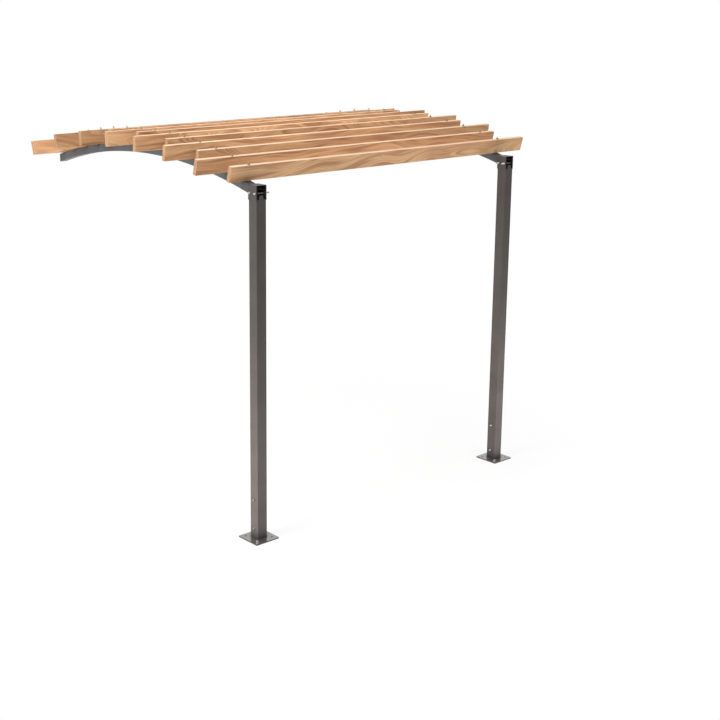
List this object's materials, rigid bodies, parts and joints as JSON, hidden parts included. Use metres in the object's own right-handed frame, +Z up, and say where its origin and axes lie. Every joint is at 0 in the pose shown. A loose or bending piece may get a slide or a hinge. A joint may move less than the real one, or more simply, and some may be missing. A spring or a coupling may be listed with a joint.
{
  "type": "lean-to pergola",
  "caption": "Lean-to pergola: square metal posts on bolted base plates carry arched metal rafters, with staggered timber slats set on edge across them.",
  "frame": {"origin": "centre of the underside of the left base plate, at ground level", "axes": "+X along the slats from the left post to the right post, +Y back to the wall, +Z up"},
  "size_m": [2.771, 2.3185, 2.473],
  "materials": {
    "post_paint": "dark taupe grey powder coat, satin",
    "rafter_paint": "mid grey powder coat, satin",
    "timber": "planed warm brown timber, oiled",
    "fasteners": "bright zinc"
  },
  "bodies": {
    "root": {"left_base": "post_paint", "right_base": "post_paint", "left_stub": "post_paint", "right_stub": "post_paint", "left_post": "post_paint", "right_post": "post_paint", "left_rafter": "rafter_paint", "right_rafter": "rafter_paint", "left_bracket": "post_paint", "right_bracket": "post_paint", "slat_01": "timber", "slat_02": "timber", "slat_03": "timber", "slat_04": "timber", "slat_05": "timber", "slat_06": "timber", "slat_07": "timber", "slat_08": "timber", "slat_09": "timber", "slat_10": "timber", "slat_11": "timber", "slat_12": "timber", "slat_13": "timber", "slat_14": "timber"}
  },
  "joints": []
}
